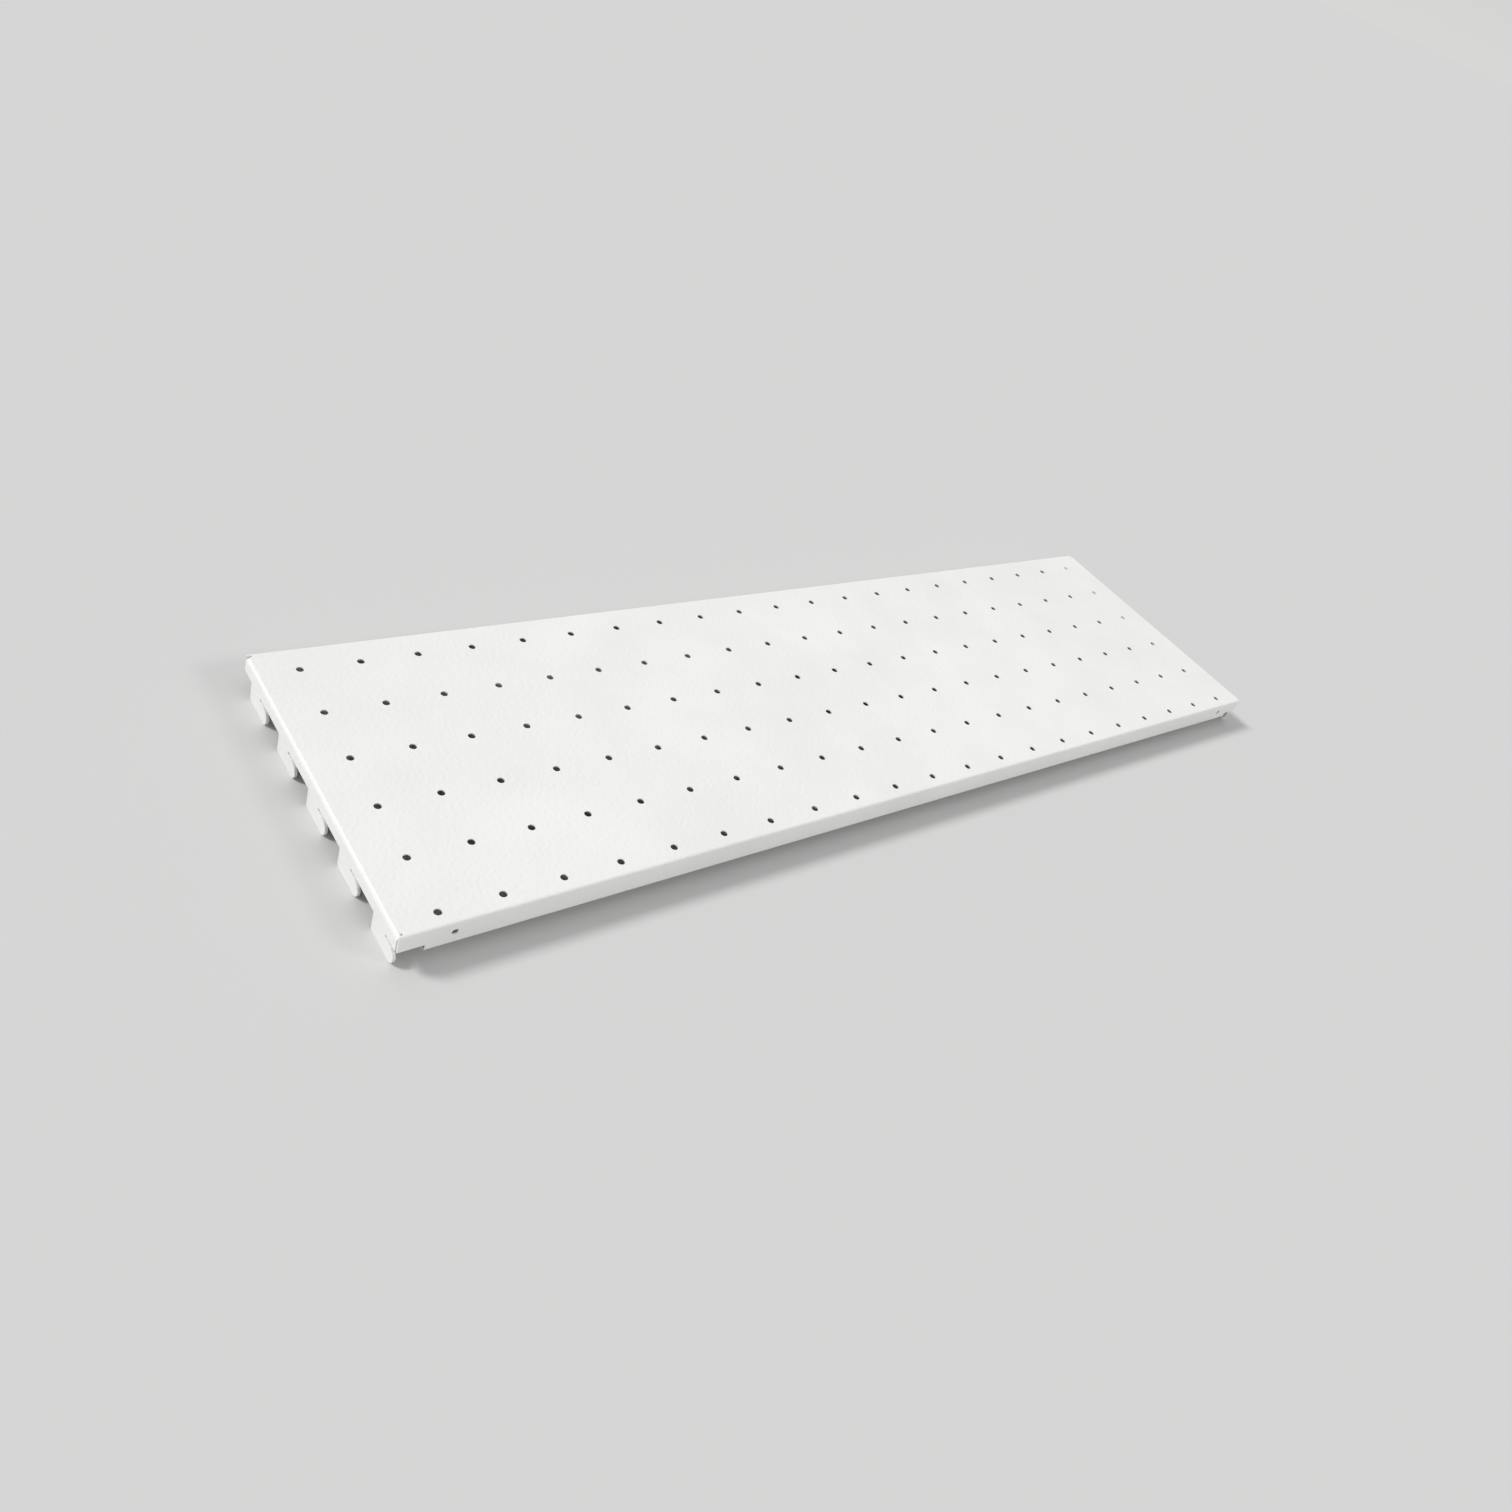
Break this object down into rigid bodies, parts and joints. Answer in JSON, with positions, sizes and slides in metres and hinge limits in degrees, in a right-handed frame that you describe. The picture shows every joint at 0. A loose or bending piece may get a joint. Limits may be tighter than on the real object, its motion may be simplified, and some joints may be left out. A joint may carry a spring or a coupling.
{
  "type": "perforated hook-in display panel",
  "caption": "Shallow white steel back panel with a grid of peg holes, folded long edges and a row of hooks along each short end for slotted uprights.",
  "frame": {"origin": "centre of the footprint, at the level of the lowest point of the hooks", "axes": "+X along the panel towards its right end, +Y across it towards the edge that is at the top when it hangs, +Z out of the perforated face"},
  "size_m": [0.862, 0.244, 0.027],
  "materials": {
    "face_coat": "white polyester powder coat on 1 mm sheet steel, semi-gloss, fine orange peel",
    "rail_coat": "white polyester powder coat on 2 mm sheet steel, semi-gloss",
    "stiffener_coat": "white polyester powder coat on 1 mm sheet steel, thinner and less even inside the section"
  },
  "bodies": {
    "root": {"face_panel": "face_coat", "left_hook_rail": "rail_coat", "right_hook_rail": "rail_coat", "centre_stiffener": "stiffener_coat"}
  },
  "joints": []
}
